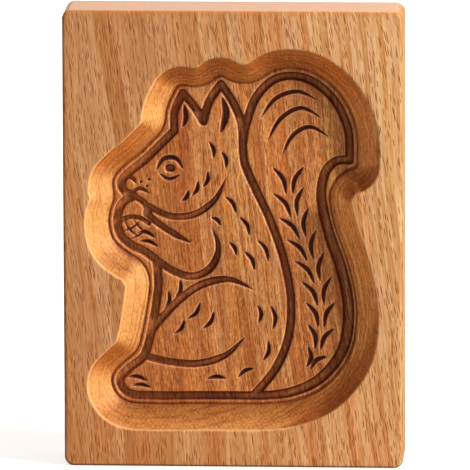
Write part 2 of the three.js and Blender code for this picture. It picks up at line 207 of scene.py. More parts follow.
# Pairs of hairs along the tail's middle line, the first of them shorter
TAIL_MIDDLE = [(17, 26.5), (25.4, 34), (28, 46.5), (26.6, 60), (22.4, 73.5), (18.4, 86), (17.6, 97)]
TAIL_PAIRS = 9
TAIL_FIRST = 0.15
TAIL_LAST = 0.95
TAIL_SPREAD_DEGREES = 24
TAIL_HALF_WIDTH = 0.85
TAIL_LENGTH = 10
TAIL_OFFSET = 3.1
TAIL_BEND = 1.3
TAIL_ROOT_LOSS = 0.3
TAIL_ROOT_PAIRS = 1.2


def curve_points(points):
    """A uniform Catmull-Rom curve through the points, with its end points repeated."""
    p = np.array([points[0], *points, points[-1]], float)
    t = np.linspace(0, 1, CURVE_STEPS, endpoint=False)[:, None]
    spans = []
    for a, b, c, d in zip(p, p[1:], p[2:], p[3:]):
        cubic = 3 * b - a - 3 * c + d
        square = 2 * a - 5 * b + 4 * c - d
        spans.append(0.5 * (2 * b + (c - a) * t + square * t ** 2 + cubic * t ** 3))
    return np.vstack([*spans, p[-1:]])


def even_points(points, step):
    """Points a step apart along the curve."""
    fine = curve_points(points)
    run = np.r_[0, np.cumsum(np.hypot(*np.diff(fine, axis=0).T))]
    places = np.linspace(0, run[-1], max(FEWEST_STEPS, math.ceil(run[-1] / step)) + 1)
    return np.c_[np.interp(places, run, fine[:, 0]), np.interp(places, run, fine[:, 1])]


def taper(count, kind):
    """The share of a groove's full width at each of its points."""
    t = np.linspace(0, 1, count)
    shares = {
        "none": np.ones(count),
        "both": np.sin(np.pi * t),
        "start": np.minimum(1, t / TAPER_LENGTH),
        "end": np.minimum(1, (1 - t) / TAPER_LENGTH),
    }
    return np.maximum(THINNEST, np.maximum(0, shares[kind]) ** TAPER_POWER)


def nick(u, v, degrees, length, bend, half_width=NICK_HALF_WIDTH):
    """A short line that bends to one side and tapers at both ends."""
    angle = math.radians(degrees)
    reach = np.array([math.cos(angle), math.sin(angle)]) * length / 2
    middle = (u - math.sin(angle) * bend, v + math.cos(angle) * bend)
    points = [(u - reach[0], v - reach[1]), middle, (u + reach[0], v + reach[1])]
    return half_width, NICK_DEPTH, "both", points


def tail_nicks():
    """Pairs of long hairs that spread from the tail's middle like a feather's barbs."""
    middle = even_points(TAIL_MIDDLE, LINE_STEP)
    nicks = []
    for i in range(TAIL_PAIRS):
        share = TAIL_FIRST + (TAIL_LAST - TAIL_FIRST) * i / (TAIL_PAIRS - 1)
        place = round(share * (len(middle) - 2))
        along = middle[place + 1] - middle[place]
        along /= np.hypot(*along)
        degrees = math.degrees(math.atan2(along[1], along[0]))
        growth = 1 - TAIL_ROOT_LOSS * math.exp(-i / TAIL_ROOT_PAIRS)
        for side in (1, -1):
            offset = side * TAIL_OFFSET * growth
            u = middle[place, 0] - along[1] * offset
            v = middle[place, 1] + along[0] * offset
            turned = degrees + side * TAIL_SPREAD_DEGREES
            length = TAIL_LENGTH * growth
            nicks.append(nick(u, v, turned, length, -side * TAIL_BEND, TAIL_HALF_WIDTH))
    return nicks


def nearest(points, line):
    """How far each point is from a line of close points, and which of them is nearest."""
    tree = KDTree(len(line))
    for i, (u, v) in enumerate(line):
        tree.insert((u, v, 0), i)
    tree.balance()
    found = [tree.find((u, v, 0)) for u, v in points]
    return np.array([hit[2] for hit in found]), np.array([hit[1] for hit in found])


def is_inside(points, loop):
    """Whether each point is inside a closed loop, by counting the sides above it."""
    u, v = points.T
    inside = np.zeros(len(points), bool)
    for (u0, v0), (u1, v1) in zip(loop, np.roll(loop, -1, axis=0)):
        if u0 == u1:
            continue
        crosses = (u0 > u) != (u1 > u)
        inside ^= crosses & (v < v0 + (u - u0) * (v1 - v0) / (u1 - u0))
    return inside


def figure_outline():
    """The closed outline and the half width of the groove at each of its points."""
    lines = []
    widths = []
    for points in OUTLINE:
        line = even_points(points, LINE_STEP)[:-1]
        swell = TAIL_EDGE_SWELL if points is TAIL_EDGE else 0
        bulge = np.sin(np.pi * np.linspace(0, 1, len(line)))
        lines.append(line)
        widths.append(OUTLINE_HALF_WIDTH * (1 + swell * bulge))
    return np.vstack(lines), np.concatenate(widths)


def line_outside(loop, reach):
    """Close points on the line at this distance outside a counter-clockwise loop."""
    step = np.roll(loop, -1, axis=0) - loop
    heading = np.arctan2(step[:, 1], step[:, 0])
    before = np.roll(heading, 1)
    turn = (heading - before + np.pi) % (2 * np.pi) - np.pi
    counts = np.maximum(1, np.ceil(turn * reach / LINE_STEP)).astype(int)
    corner = np.repeat(np.arange(len(loop)), counts)
    place = np.arange(len(corner)) - np.repeat(np.cumsum(counts) - counts, counts)
    angle = before[corner] + turn[corner] * (place + 0.5) / counts[corner] - np.pi / 2
    points = loop[corner] + reach * np.stack([np.cos(angle), np.sin(angle)], axis=1)
    return points[nearest(points, loop)[0] > reach - CLEARANCE_SLACK]


def round_section(across):
    """A round-nosed cutter's depth at a share of its half width, as a share of its full depth."""
    return np.sqrt(1 - across ** ROUND_POWER)


def pointed_section(across):
    """The same for a pointed tool."""
    return 1 - across ** POINTED_POWER


# At each point: the depth in mm, the share of full depth, and how far outside the groove it is
Cut = namedtuple("Cut", "depth share gap")


def cut_grooves(points, grooves, section):
    """What a set of grooves cuts at the points. Beyond their reach the gap is left large."""
    depth = np.zeros(len(points))
    share = np.zeros(len(points))
    gap = np.full(len(points), FAR_OUTSIDE)
    for half_width, full_depth, kind, curve in grooves:
        line = even_points(curve, LINE_STEP)
        width = half_width * taper(len(line), kind)
        reach = half_width + GAP_REACH
        near = np.all((points > line.min(0) - reach) & (points < line.max(0) + reach), axis=1)
        if not near.any():
            continue
        distance, place = nearest(points[near], line)
        profile = section(np.minimum(1, distance / width[place]))
        strength = width[place] / half_width
        depth[near] = np.maximum(depth[near], full_depth * strength * profile)
        share[near] = np.maximum(share[near], profile * np.sqrt(strength))
        gap[near] = np.minimum(gap[near], distance - width[place])
    return Cut(depth, share, gap)


def cut_outline(distance, width):
    """What the groove round the figure cuts, at a distance from it and with its width there."""
    profile = round_section(np.minimum(1, distance / width))
    return Cut(OUTLINE_DEPTH / OUTLINE_HALF_WIDTH * width * profile, profile, distance - width)


def wall_rise(share):
    """The hollow wall's height, from 0 at its foot to 1 at the face."""
    return (1 - WALL_HOLLOW) * share + WALL_HOLLOW * (1 - np.sqrt(1 - share ** 2))


class Relief:
    """The carving's fields at a set of points: heights and the marks that the material reads.

    Across is measured from the outline, but inwards from a line further out, so that the lobes
    of the recess round the figure's parts blend into each other.
    """

    def __init__(self, points, outline, widths, far_line):
        distance, place = nearest(points, outline)
        is_beyond = (distance > FAR_LINE) & ~is_inside(points, outline[::COARSE])
        self.across = FAR_LINE - np.where(is_beyond, -1, 1) * nearest(points, far_line)[0]
        smooth = [cut_outline(distance, widths[place]), cut_grooves(points, GROOVES, round_section)]
        nicks = [nick(*each) for each in NICKS] + tail_nicks()
        sharp = [cut_grooves(points, lines, pointed_section) for lines in (POINTED, nicks)]
        self.cut = np.maximum.reduce([cut.depth for cut in smooth + sharp])
        self.gap = np.minimum.reduce([cut.gap for cut in smooth + sharp])
        # How dark each place is drawn: burn and painted shade in the grooves and nicks
        smooth_burn_and_shade = [cut.share * GROOVE_BURN_AND_SHADE_SHARE for cut in smooth]
        self.burn_and_shade = np.maximum.reduce(smooth_burn_and_shade + [cut.share for cut in sharp])

    def marks(self, used):
        """What the material reads, at the points that are used."""
        return {"across": self.across[used], "burn_and_shade": self.burn_and_shade[used], "gap": self.gap[used]}

    def height(self):
        """Depth below the face, in mm, as a negative number."""
        share = np.clip((self.across - LEDGE) / WALL_RUN, 0, 1)
        wall = RECESS_DEPTH * (wall_rise(share) - 1)
        notch = NOTCH_DEPTH * np.clip(1 - np.abs(self.across - LEDGE) / NOTCH_HALF_WIDTH, 0, 1)
        recess = np.where(self.cut > 0, np.minimum(wall, -RECESS_DEPTH - self.cut), wall - notch)
        rim_lip = LIP_DROP * np.exp(-((self.across - RIM) / LIP_WIDTH) ** 2)
        groove_lips = LIP_ROUND * np.exp(-(np.maximum(0, self.gap) / LIP_WIDTH) ** 2)
        return recess - rim_lip - groove_lips


def snapped(points, shape, relief):
    """Grid points moved onto the carving's edges where they are close to one."""
    moved = points.copy()
    closest = np.full(len(points), SNAP * GRID)
    for field in (relief.across - RIM, relief.across - LEDGE, relief.gap):
        slope_v, slope_u = np.gradient(field.reshape(shape), GRID)
        slope = np.stack([slope_u.ravel(), slope_v.ravel()], axis=1)
        steepness = np.hypot(*slope.T)
        near = (np.abs(field) < closest) & (steepness > LEAST_STEEPNESS)
        step = field / np.maximum(steepness, LEAST_STEEPNESS) ** 2
        moved[near] = points[near] - (step[:, None] * slope)[near]
        closest = np.minimum(closest, np.abs(field))
    return moved


def rounded_ring(half_width, height, inset):
    """The block's outline in plan, drawn in by inset, counter-clockwise from the lower right."""
    radius = CORNER_RADIUS - inset
    right = half_width - CORNER_RADIUS
    top = height - CORNER_RADIUS
    centres = np.array([(right, CORNER_RADIUS), (right, top), (-right, top), (-right, CORNER_RADIUS)])
    ring = []
    for corner, centre in enumerate(centres):
        angles = math.pi / 2 * (corner - 1 + np.arange(CORNER_STEPS + 1) / CORNER_STEPS)
        ring += list(centre + radius * np.c_[np.cos(angles), np.sin(angles)])
        arc_end = ring[-1]
        side = centres[(corner + 1) % 4] - centre
        ring += [arc_end + side * k / SIDE_STEPS for k in range(1, SIDE_STEPS)]
    return ring


def edge_profile(half_thickness):
    """Inset and height of each ring from the flat of the face, over both edges, to the back."""
    front = [(EDGE_ROUND + SUPPORT, half_thickness)]
    for k in range(EDGE_STEPS + 1):
        angle = math.pi / 2 * k / EDGE_STEPS
        drop = EDGE_ROUND * (1 - math.cos(angle))
        front.append((EDGE_ROUND * (1 - math.sin(angle)), half_thickness - drop))
    front.append((0, half_thickness - EDGE_ROUND - SUPPORT))
    return front + [(inset, -w) for inset, w in reversed(front)]


class Solid:
    """Vertices with their marks, and faces, gathered part by part."""

    def __init__(self):
        self.corners = []
        self.marks = {name: [] for name in PLAIN_MARKS}
        self.faces = []

    def add(self, points, heights, marks=None):
        """Adds vertices and returns the first one's number. Without marks they are plain wood."""
        start = len(self.corners)
        self.corners += [(u, v, w) for (u, v), w in zip(points, heights)]
        for name, plain in PLAIN_MARKS.items():
            self.marks[name] += list(marks[name]) if marks else [plain] * len(points)
        return start


def grid_over(outline, reach):
    """Points of a grid that goes this far beyond the outline, and its rows and columns."""
    low = outline.min(0) - reach
    high = outline.max(0) + reach
    us = np.arange(low[0], high[0], GRID)
    vs = np.arange(low[1], high[1], GRID)
    return np.stack(np.meshgrid(us, vs), axis=-1).reshape(-1, 2), (len(vs), len(us))


def add_relief(solid, half_thickness):
    """The recess and a narrow strip of the face round it. Returns the strip's outer loop."""
    outline, widths = figure_outline()
    far_line = line_outside(outline, FAR_LINE)
    plain, shape = grid_over(outline, RIM + FACE_MARGIN + 2 * GRID)
    points = snapped(plain, shape, Relief(plain, outline, widths, far_line))
    relief = Relief(points, outline, widths, far_line)
    is_kept = relief.across < RIM + FACE_MARGIN
    quads = grid_quads(shape)
    quads = quads[is_kept[quads].all(axis=1)]
    used = np.unique(quads)
    heights = half_thickness + np.minimum(0, relief.height())
    start = solid.add(points[used], heights[used], relief.marks(used))
    number = np.full(len(points), -1)
    number[used] = start + np.arange(len(used))
    solid.faces += number[quads].tolist()
    return boundary_loop(number[quads])


def grid_quads(shape):
    """Every cell of a grid of points, counter-clockwise."""
    rows, columns = shape
    corner = (np.arange(rows - 1)[:, None] * columns + np.arange(columns - 1)).ravel()
    return np.stack([corner, corner + 1, corner + columns + 1, corner + columns], axis=1)


def boundary_loop(quads):
    """The corners round the outside of a patch of quads, in order."""
    edges = np.concatenate([quads[:, [k, (k + 1) % 4]] for k in range(4)])
    pairs = set(map(tuple, edges.tolist()))
    following = {a: b for a, b in pairs if (b, a) not in pairs}
    first = min(following)
    loop = [first]
    while following[loop[-1]] != first:
        loop.append(following[loop[-1]])
    return loop


def add_block(solid, half_width, height, half_thickness, relief_loop):
    """The block's rounded sides and back, and the flat of its face up to the relief."""
    starts = []
    for inset, w in edge_profile(half_thickness):
        ring = rounded_ring(half_width, height, inset)
        starts.append(solid.add(ring, [w] * len(ring)))
    count = len(ring)
    for upper, lower in zip(starts, starts[1:]):
        for k in range(count):
            after = (k + 1) % count
            solid.faces.append([upper + k, lower + k, lower + after, upper + after])
    solid.faces.append([starts[-1] + k for k in reversed(range(count))])
    add_flat(solid, list(range(starts[0], starts[0] + count)), relief_loop)


def loop_edges(first, count):
    """The edges of a closed loop of corners with numbers in a row."""
    return [(first + k, first + (k + 1) % count) for k in range(count)]


def add_flat(solid, outer, inner):
    """Flat triangles between two loops of corners."""
    numbers = outer + inner
    plan = [Vector(solid.corners[i][:2]) for i in numbers]
    edges = loop_edges(0, len(outer)) + loop_edges(len(outer), len(inner))
    places, _, triangles, origins, _, _ = geometry.delaunay_2d_cdt(plan, edges, [], 0, WELD_DISTANCE)
    triangles = np.array(triangles)
    middles = np.array([tuple(place) for place in places])[triangles].mean(axis=1)
    is_outside = ~is_inside(middles, np.array(plan[len(outer):]))
    for triangle in triangles[is_outside]:
        solid.faces.append([numbers[origins[k][0]] for k in triangle])


# Where each side of the block lies on the baked picture, in mm
ISLANDS = {
    "front": (2, 2), "back": (115, 2), "left": (2, 156),
    "right": (2, 180), "top": (2, 204), "bottom": (115, 204),
}
PICTURE_SIDE = 228.0


def baked_place(corner, side, half_width, half_thickness):
    """A corner's place on the baked picture."""
    x, y, z = (value / MM for value in corner)
    across = x + half_width
    through = y + half_thickness
    plan = {
        "front": (across, z),
        "back": (half_width - x, z),
        "left": (z, through),
        "right": (z, through),
        "top": (across, through),
        "bottom": (across, through),
    }[side]
    return tuple((start + along) / PICTURE_SIDE for start, along in zip(ISLANDS[side], plan))


def side_of(normal):
    """Which side of the block a face belongs to, by where it looks."""
    x, y, z = normal
    if max(abs(x), abs(z)) < abs(y):
        return "front" if y < 0 else "back"
    if abs(x) > abs(z):
        return "right" if x > 0 else "left"
    return "top" if z > 0 else "bottom"


def add_bake_map(mesh, relief_faces, half_width, half_thickness):
    """A map with each side of the block laid flat, for a later bake of the materials."""
    layer = mesh.uv_layers.new(name="OFBake")
    values = np.zeros((len(mesh.loops), 2))
    corners = [tuple(vertex.co) for vertex in mesh.vertices]
    for face in mesh.polygons:
        side = "front" if face.index < relief_faces else side_of(face.normal)
        for loop in face.loop_indices:
            corner = corners[mesh.loops[loop].vertex_index]
            values[loop] = baked_place(corner, side, half_width, half_thickness)
    layer.data.foreach_set("uv", values.ravel())


def add_object(name, data):
    thing = bpy.data.objects.new(name, data)
    bpy.context.scene.collection.objects.link(thing)
    return thing


def carved_board(box):
    """The whole block as one closed mesh in the frame's own place."""
    low, high = (Vector(corner) / MM for corner in box)
    half_width = (high.x - low.x) / 2
    half_thickness = (high.y - low.y) / 2
    centre = Vector(((low.x + high.x) / 2, (low.y + high.y) / 2, low.z))
    solid = Solid()
    loop = add_relief(solid, half_thickness)
    relief_faces = len(solid.faces)
    add_block(solid, half_width, high.z - low.z, half_thickness, loop)
    corners = []
    for u, v, w in solid.corners:
        corners.append(((centre.x + u) * MM, (centre.y - w) * MM, (centre.z + v) * MM))
    mesh = bpy.data.meshes.new("carved_board")
    mesh.from_pydata(corners, [], solid.faces)
    mesh.validate()
    for name, values in solid.marks.items():
        mesh.attributes.new(name, "FLOAT", "POINT").data.foreach_set("value", values)
    mesh.polygons.foreach_set("use_smooth", [True] * len(mesh.polygons))
    add_bake_map(mesh, relief_faces, half_width, half_thickness)
    return add_object("carved_board", mesh)


class Nodes:
    """Adds shader nodes to a tree. A value that is a socket is linked, any other is set."""

    def __init__(self, tree):
        self.tree = tree
        tree.nodes.clear()

    def add(self, kind, values=None, **settings):
        node = self.tree.nodes.new("ShaderNode" + kind)
        for name, value in settings.items():
            setattr(node, name, value)
        for name, value in (values or {}).items():
            if isinstance(value, bpy.types.NodeSocket):
                self.tree.links.new(value, node.inputs[name])
            else:
                node.inputs[name].default_value = value
        return node

    def math(self, operation, a, b=0.0, c=0.0):
        return self.add("Math", {0: a, 1: b, 2: c}, operation=operation).outputs[0]

    def product(self, first, *others):
        for other in others:
            first = self.math("MULTIPLY", first, other)
        return first

    def between(self, value, low, high):
        """0 below low, 1 above high and smooth between them. Low may be the larger one."""
        node = self.add("MapRange", {0: value, 1: low, 2: high}, interpolation_type="SMOOTHSTEP")
        return node.outputs[0]

    def slope(self, value, ends, results):
        """A straight slope between two results, and level beyond the two ends."""
        values = {0: value, 1: ends[0], 2: ends[1], 3: results[0], 4: results[1]}
        return self.add("MapRange", values).outputs[0]

    def place(self, parts, scales):
        """A place to look up a texture at, each of its axes with its own scale."""
        scaled = [self.product(part, scale) for part, scale in zip(parts, scales)]
        return self.add("CombineXYZ", dict(enumerate(scaled))).outputs[0]

    def noise(self, parts, scales, detail=2.0, roughness=0.5):
        """Noise that has this many cycles per mm along each of its axes."""
        place = self.place(parts, scales)
        values = {"Vector": place, "Scale": 1.0, "Detail": detail, "Roughness": roughness}
        return self.add("TexNoise", values).outputs[0]

    def mix(self, share, a, b, blend="MIX"):
        node = self.add("Mix", {0: share, 6: a, 7: b}, data_type="RGBA", blend_type=blend)
        return node.outputs[2]

    def tint(self, colour, tint, share):
        """The colour multiplied by a tint, as far as the share says."""
        return self.mix(share, colour, tint, "MULTIPLY")

    def tint_by(self, cause, colour, *tints, limit=1.0):
        """Tints that come in as their cause runs from each one's start to its full value."""
        for tint in tints:
            share = self.between(cause, tint.start, tint.full)
            colour = self.tint(colour, tint.colour, self.product(share, limit))
        return colour


def linear(red, green, blue):
    """A colour from its 0 to 255 screen values."""
    def channel(value):
        share = value / 255
        return share / 12.92 if share <= 0.04045 else ((share + 0.055) / 1.055) ** 2.4
    return channel(red), channel(green), channel(blue), 1.0


def new_material(name):
    material = bpy.data.materials.new(name)
    material.use_nodes = True
    return material, Nodes(material.node_tree)


# A grain is a noise's cycles per mm, and an edge is where a thing starts and where it is full.
# A slope is the two ends of its cause and the two results. A tint is a colour to multiply by,
# and the values of its cause where it starts and where it is full.
Tint = namedtuple("Tint", "colour start full")

# The log: its pith lies behind the face and to the left, so the left of the face is cut along
# the rings and the right across them. The grain leans, more so to the right and low down.
PITH_X = -30.0
PITH_Y = 150.0
LEAN = 0.1
LEAN_MORE = (-55.0, 55.0), (0.0, 0.04)
BOW_LENGTH = 300.0
SWAY = 6.0
SWAY_GRAIN = (0.018, 0.0, 0.012)

# The face in plain light, paler to the right: partly the wood's own tone and partly
# painted light from the right
FACE_LEFT = linear(205, 143, 91)
FACE_RIGHT = linear(227, 174, 122)
FACE_TURNS_PALE = (-45.0, 55.0)
LOWER_END = Tint((1.02, 0.94, 0.86, 1), 50.0, 0.0)

# Broad soft stripes, fainter at the left
STRIPE_GRAIN = (0.19, 0.05, 0.005)
STRIPE_SHARE = (-55.0, 20.0), (0.4, 1.0)
STRIPE_GOLD = Tint((1.05, 1.09, 1.03, 1), 0.5, 0.68)
STRIPE_ORANGE = Tint((0.99, 0.84, 0.72, 1), 0.5, 0.34)

# Growth rings: soft ones of any width, and even ones that each end at a crisp line
SOFT_RING_GRAIN = (0.6, 0.02, 0.005)
RING_DARK = Tint((0.92, 0.83, 0.72, 1), 0.5, 0.3)
RING_PALE = Tint((1.05, 1.1, 1.15, 1), 0.5, 0.7)
RING_WIDTH = 2.9
RING_WOBBLE = 1.6
WOBBLE_GRAIN = (0.05, 0.05, 0.008)
RING_LATE = Tint((0.88, 0.77, 0.62, 1), 0.35, 0.95)
RING_LINE = (1.0, 0.97)
RING_EARLY = Tint((1.06, 1.12, 1.2, 1), 0.22, 0.04)

# Fibres
FIBRE_GRAIN = (1.9, 1.0, 0.06)
FIBRE_DETAIL = 3.0
FIBRE_ROUGHNESS = 0.6
FIBRE_DARK = Tint((0.86, 0.71, 0.54, 1), 0.5, 0.36)
FIBRE_LIGHT = Tint((1.12, 1.2, 1.32, 1), 0.5, 0.64)

# Ray dashes: how many per mm round the log and up it, and how they're drawn
LONG_DASHES = (2.0, 0.13)
SHORT_DASHES = (2.3, 0.2)
DASH_LEAN = (-55.0, 55.0), (0.03, 0.08)
DASH_SHOWN = (0.44, 0.94)
DASH_EDGE = (0.35, 0.18)
BESIDE_EDGE = (0.6, 0.35)
DASH_BROWN = (0.42, 0.2, 0.0, 1)
DASH_BESIDE = (1.1, 1.18, 1.28, 1)
DASH_ON_SIDES = 0.3
FACING_FRONT = (0.1, 0.6)

# The recess's floor, darker as painted shade of the recess and as a darker cut, and the streaks
# that show most there
CUT_FLOOR_AND_SHADE = (0.9, 0.75, 0.58, 1)
FLOOR_BLUR = 0.4
STREAK_GRAIN = (0.8, 0.1, 0.014)
STREAK_GOLD = Tint((1.24, 1.14, 0.92, 1), 0.5, 0.66)
STREAK_BROWN = Tint((0.74, 0.58, 0.48, 1), 0.5, 0.34)
STREAK_SHARE = 0.25
STREAK_SHARE_MORE = 0.7

# The recess's wall, told apart by where it faces: the wall at the right faces left. Its tints by
# facing are painted light and shade, and at the top and bottom also the darker end grain
CUT_WALL = linear(248, 188, 112)
CUT_WALL_SHARE = 0.6
WALL_END = (RIM + 0.1, RIM - 0.25)
FACING_LEFT = (0.1, -0.5)
FACING_RIGHT = (0.1, 0.5)
FACING_DOWN = (-0.1, -0.6)
FACING_UP = (0.35, 0.65)
# Painted light and shade by where the wall faces; at the top and bottom also darker end grain
SHADED_RIGHT_WALL_TINT = (1.22, 1.05, 0.84, 1)
LIT_LEFT_WALL_TINT = (0.9, 0.82, 0.7, 1)
TOP_WALL_SHADE_AND_END_GRAIN = (0.74, 0.49, 0.27, 1)
BOTTOM_WALL_SHADE_AND_END_GRAIN = (0.68, 0.52, 0.37, 1)
BOTTOM_RIM_START = LEDGE + 4.0
BOTTOM_RIM_LOSS = -0.4
# Painted shadow on the wall where it faces up and left, deepest in the lower right corner
CORNER_PAINTED_SHADOW = Tint((0.6, 0.48, 0.4, 1), 0.7, 0.9)
CORNER_UPWARD = 0.8
# Painted shade at the foot of the wall that faces up
WALL_FOOT_SHADE = Tint((0.66, 0.56, 0.42, 1), LEDGE + 5.0, LEDGE)

# The layers, the cutter's passes and its steps on the wall, stronger low down
BAND_DARK = (0.58, 0.42, 0.31, 1)
LAYER_GRAIN = (0.8, 0.03, 0.012)
LAYER_ROUGHNESS = 0.7
LAYER_EDGE = (0.5, 0.62)
PASS_GRAIN = (1.3, 0.02, 0.02)
PASS_EDGE = (0.47, 0.6)
PASS_LEAST = 0.3
STEP_HEIGHT = 1.2
STEP_WAVER = 9.0
STEP_EDGE = (0.0, 0.9)
STEP_SHARE = 0.85
BAND_SHARE = 0.35
BAND_SHARE_MORE = 0.5
BANDS_FULL_AT = LEDGE + 2

# Crossed hatching where the wall faces up, broken into patches
HATCH_STEP = 1.6
HATCH_EDGE = (0.5, 0.1)
PATCH_GRAIN = (0.3, 0.0, 0.5)
PATCH_EDGE = (0.35, 0.65)
HATCH_SHARE = 0.7

# Painted highlights: a pale line round the recess's rim where it faces the light, and the
# grooves' lips
RIM_HIGHLIGHT = linear(246, 196, 132)
RIM_LINE_START = (RIM - 0.55, RIM - 0.15)
RIM_LINE_END = (RIM + 0.3, RIM)
RIM_LIT = (-0.2, 0.4)
RIM_UPWARD = 0.5
RIM_SHARE = 0.5
LIP_HIGHLIGHT = linear(232, 172, 122)
LIP_OUTER = (0.5, 0.1)
LIP_INNER = (-0.15, 0.1)
LIP_SHARE = 0.4

# Grooves: browned as burn and painted shade, with painted shade darkest on their sides and
# painted light at the left and in a wide one's middle. Nicks are browned likewise, the notch
# is in painted shade, and the recess's lower edge is darker
GROOVE_BURN_AND_SHADE = (0.41, 0.28, 0.19, 1)
GROOVE_SIDE_SHADE = Tint((0.38, 0.19, 0.1, 1), -0.85, -0.4)
BURN_AND_SHADE_EDGE = (0.0, 0.4)
POINTED_BURN_AND_SHADE = (GROOVE_BURN_AND_SHADE_SHARE, 0.7)
GROOVE_LIT_AT_LEFT = (-38.0, -4.0), (0.4, 1.0)
WIDE_MIDDLE = (-0.8, -1.4)
WIDE_MIDDLE_LOSS = -0.35
NICK_BURN_AND_SHADE = Tint((0.4, 0.3, 0.26, 1), GROOVE_BURN_AND_SHADE_SHARE, 0.8)
NOTCH_SHADE = Tint((0.5, 0.34, 0.24, 1), 0.5, 0.1)
LOW_EDGE_DARKER = Tint((0.66, 0.54, 0.42, 1), 23.0, 20.5)
INSIDE_LEDGE_EDGE = (LEDGE + 0.2, LEDGE)

# Mottling of everything that is cut
MOTTLE_GRAIN = (1.7, 1.7, 0.8)
MOTTLE_DARK = Tint((0.76, 0.7, 0.64, 1), 0.52, 0.3)
MOTTLE_LIGHT = Tint((1.22, 1.2, 1.14, 1), 0.5, 0.72)
CUT_EDGE = (RIM, RIM - 0.3)

# The block's own sides, ends and edges: painted shade on the sides and under the edges, and
# painted light on the ends
OUTSIDE_EDGE = (RIM, RIM + 1)
SIDE_PAINTED_SHADE = Tint((0.54, 0.57, 0.48, 1), 0.3, 0.8)
END_PAINTED_LIGHT = linear(226, 184, 156)
END_FACING = (0.6, 0.95)
END_SHARE = 0.8
OILED_END = linear(214, 128, 58)
OIL_GRAIN = (0.9,)
OIL_ROUGHNESS = 0.7
OIL_RUNS = 14.0
OIL_REACH = (155.2, 157.0)
OIL_BELOW_END = (150.0, 149.6)
OIL_SHARE = 0.8
UNDER_EDGE_SHADOW = Tint((0.3, 0.2, 0.14, 1), -0.2, -0.7)

# The surface: fine relief and gloss
TOOL_MARK_STEP = 0.8
TOOL_MARK_RELIEF = 0.3
FIBRE_RELIEF = 0.6
DASH_RELIEF = 0.3
BUMP_STRENGTH = 0.5
BUMP_HEIGHT = 0.12 * MM
ROUGHNESS = (0.3, 0.7), (0.7, 0.55)
SPECULAR_LEVEL = 0.25


class Log:
    """Where a place lies in the log, in mm, with the grain's lean taken out."""

    def __init__(self, nodes):
        place = nodes.add("TexCoord").outputs["Object"]
        scaled = nodes.add("VectorMath", {0: place, 3: 1 / MM}, operation="SCALE").outputs[0]
        self.x, self.y, self.z = nodes.add("SeparateXYZ", {0: scaled}).outputs
        slow = nodes.noise((self.x, self.y, self.z), SWAY_GRAIN, detail=1.0)
        sway = nodes.product(nodes.math("SUBTRACT", slow, 0.5), SWAY)
        leaning = nodes.math("MULTIPLY_ADD", self.z, LEAN, self.x)
        rise = nodes.product(self.z, self.z, 1 / BOW_LENGTH)
        more = nodes.slope(self.x, *LEAN_MORE)
        bow = nodes.product(nodes.math("SUBTRACT", self.z, rise), more)
        self.upright = nodes.math("ADD", nodes.math("ADD", leaning, bow), sway)
        across = nodes.math("SUBTRACT", self.upright, PITH_X)
        behind = nodes.math("SUBTRACT", PITH_Y, self.y)
        squares = nodes.math("ADD", nodes.math("POWER", across, 2.0), nodes.math("POWER", behind, 2.0))
        self.radius = nodes.math("SQRT", squares)
        self.way_round = nodes.product(nodes.math("ARCTAN2", across, behind), PITH_Y)
        dash_lean = nodes.slope(self.x, *DASH_LEAN)
        self.slanted = nodes.math("MULTIPLY_ADD", rise, dash_lean, self.way_round)
        around = (self.way_round, self.radius, self.z)
        self.fibres = nodes.noise(around, FIBRE_GRAIN, FIBRE_DETAIL, FIBRE_ROUGHNESS)


class Marks:
    """Where a place lies on the carving, from the mesh's marks and where it faces."""

    def __init__(self, nodes):
        normal = nodes.add("NewGeometry").outputs["Normal"]
        self.normal_x, self.normal_y, self.normal_z = nodes.add("SeparateXYZ", {0: normal}).outputs
        self.across, self.burn_and_shade, self.gap = (
            nodes.add("Attribute", attribute_name=name).outputs["Fac"] for name in PLAIN_MARKS
        )
        self.is_floor = nodes.between(self.across, LEDGE + FLOOR_BLUR, LEDGE)
        wall_start = nodes.between(self.across, LEDGE, LEDGE + FLOOR_BLUR)
        wall_end = nodes.between(self.across, *WALL_END)
        self.is_wall = nodes.product(wall_start, wall_end)
        self.outside = nodes.between(self.across, *OUTSIDE_EDGE)

        def wall_facing(normal, edge):
            return nodes.product(nodes.between(normal, *edge), self.is_wall)
        self.at_right = wall_facing(self.normal_x, FACING_LEFT)
        self.at_left = wall_facing(self.normal_x, FACING_RIGHT)
        self.at_top = wall_facing(self.normal_z, FACING_DOWN)
        self.at_bottom = wall_facing(self.normal_z, FACING_UP)


def board_colour(nodes, log):
    """The planed board: its tone from side to side, partly painted light, and broad soft stripes."""
    # Paler to the right: partly the wood's tone, partly painted light from the right
    colour = nodes.mix(nodes.between(log.x, *FACE_TURNS_PALE), FACE_LEFT, FACE_RIGHT)
    colour = nodes.tint_by(log.z, colour, LOWER_END)
    stripes = nodes.noise((log.upright, log.y, log.z), STRIPE_GRAIN, detail=1.0)
    share = nodes.slope(log.x, *STRIPE_SHARE)
    return nodes.tint_by(stripes, colour, STRIPE_GOLD, STRIPE_ORANGE, limit=share)


def with_rings(nodes, log, colour):
    """Growth rings: soft broad ones, and even ones that darken outwards up to a crisp line."""
    soft = nodes.noise((log.radius, log.upright, log.z), SOFT_RING_GRAIN, detail=1.0)
    colour = nodes.tint_by(soft, colour, RING_DARK, RING_PALE)
    wobble = nodes.noise((log.upright, log.y, log.z), WOBBLE_GRAIN, detail=1.0)
    rings_out = nodes.math("DIVIDE", log.radius, RING_WIDTH)
    within = nodes.math("FRACT", nodes.math("MULTIPLY_ADD", wobble, RING_WOBBLE, rings_out))
    colour = nodes.tint_by(within, colour, RING_LATE, limit=nodes.between(within, *RING_LINE))
    return nodes.tint_by(within, colour, RING_EARLY)


